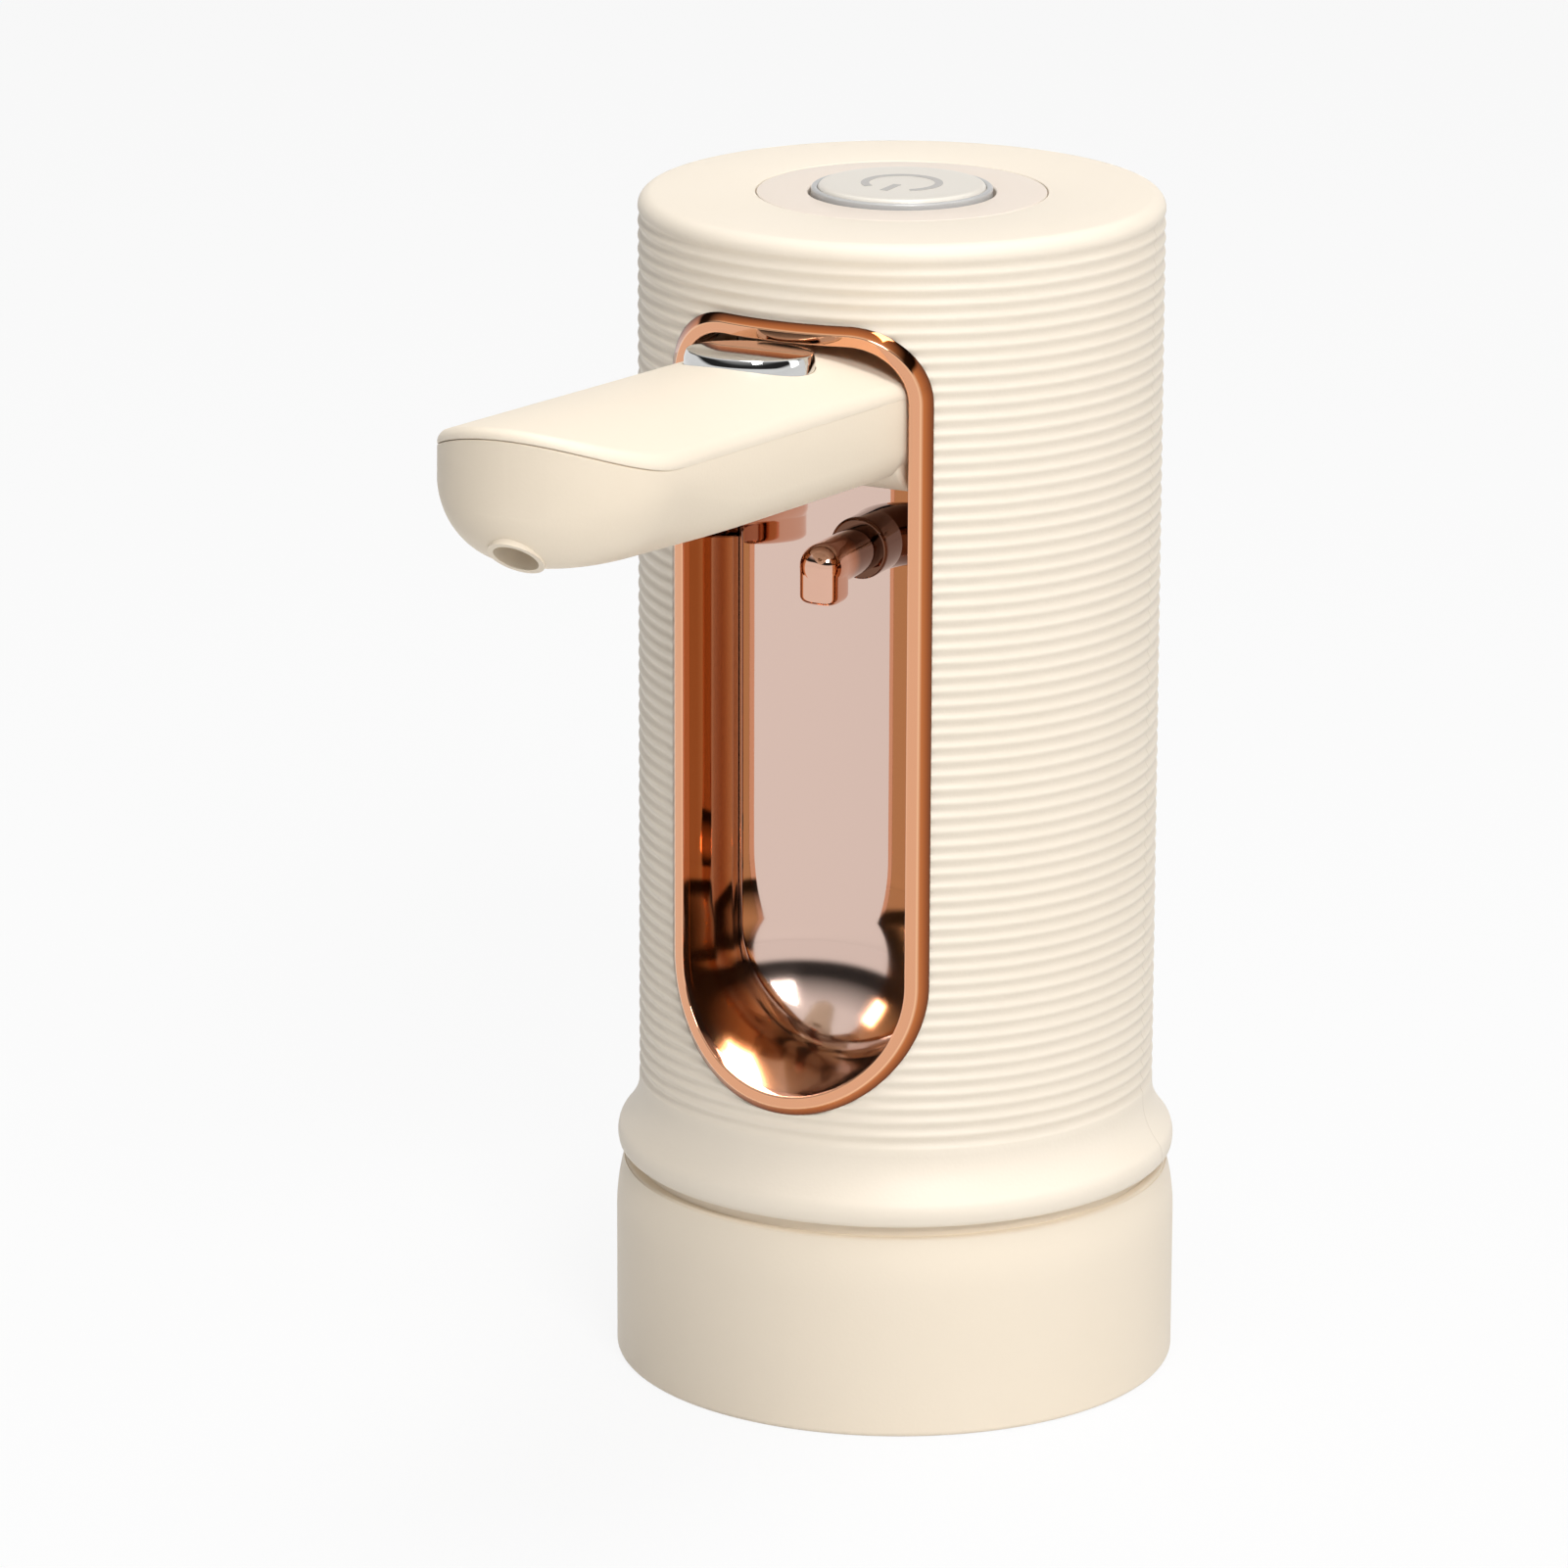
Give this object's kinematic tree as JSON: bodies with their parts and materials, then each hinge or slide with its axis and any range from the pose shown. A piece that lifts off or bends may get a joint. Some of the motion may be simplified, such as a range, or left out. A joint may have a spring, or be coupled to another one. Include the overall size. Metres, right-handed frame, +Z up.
{
  "type": "electric wine dispenser",
  "caption": "Round ribbed bottle-top dispenser with a fold-down spout over a plated recess, a push button on top and a collar that fits a bottle neck.",
  "frame": {"origin": "on the body's axis at the resting face of the collar", "axes": "+Z up along the body's axis, -Y the way the opened spout points"},
  "size_m": [0.056, 0.1089, 0.1194],
  "materials": {
    "cream_shell": "fine satin moulded plastic",
    "rose_gold": "polished rose-gold plating on plastic",
    "chrome_trim": "polished plating",
    "steel": "bare steel",
    "seal": "soft silicone",
    "dark_seal": "soft silicone",
    "clear_plastic": "natural moulded plastic",
    "bezel": "smooth moulded plastic",
    "button_cap": "smooth moulded plastic",
    "board": "circuit board",
    "black_plastic": "moulded plastic",
    "cell": "sleeved steel can",
    "winding": "wound armature"
  },
  "bodies": {
    "housing": {"body_shell": "cream_shell", "base_plate": "cream_shell", "base_collar": "cream_shell", "bottle_seal": "seal", "dip_tube_socket": "clear_plastic", "wine_manifold": "clear_plastic", "base_screws": "steel", "niche_liner": "rose_gold", "trim_frame": "rose_gold", "latch_hook": "rose_gold", "hinge_block": "cream_shell", "hinge_pins": "steel", "feed_seal": "dark_seal", "feed_elbow": "clear_plastic", "feed_hose": "seal", "button_bezel": "bezel", "control_board": "board", "board_screws": "steel", "tact_switch": "black_plastic", "chassis": "black_plastic", "battery_cell": "cell", "charge_board": "board", "charge_port": "steel", "motor_can": "steel", "motor_cap": "black_plastic", "pump_body": "clear_plastic", "pump_cover": "clear_plastic", "idler_pin": "steel", "inlet_sleeve": "seal"},
    "spout": {"spout_tray": "cream_shell", "spout_cover": "cream_shell", "spout_disc": "chrome_trim", "spout_tube": "seal", "spout_nozzle": "dark_seal"},
    "button": {"power_button": "button_cap", "button_ring": "chrome_trim"},
    "rotor": {"motor_armature": "winding", "rotor_shaft": "steel", "drive_gear": "steel"},
    "idler": {"idler_gear": "steel"}
  },
  "joints": [
    {"name": "spout_fold", "type": "hinge", "parent": "housing", "child": "spout", "pos_m": [0, -0.018, 0.1], "axis": [1, 0, 0], "range_deg": [0, 94.1]},
    {"name": "button_press", "type": "slide", "parent": "housing", "child": "button", "axis": [0, 0, -1], "range_m": [0, 0.0006], "stiffness_N_per_m": 2000, "springref_m": -0.0005},
    {"name": "motor_spin", "type": "hinge", "parent": "housing", "child": "rotor", "pos_m": [0.01098, 0.0115, 0.05], "axis": [0, 0, 1], "continuous": true},
    {"name": "idler_spin", "type": "hinge", "parent": "housing", "child": "idler", "pos_m": [0.01098, 0.00325, 0.04], "axis": [0, 0, 1], "continuous": true}
  ],
  "couplings": [
    {"joint": "idler_spin", "follows": "motor_spin", "ratio": -1}
  ]
}
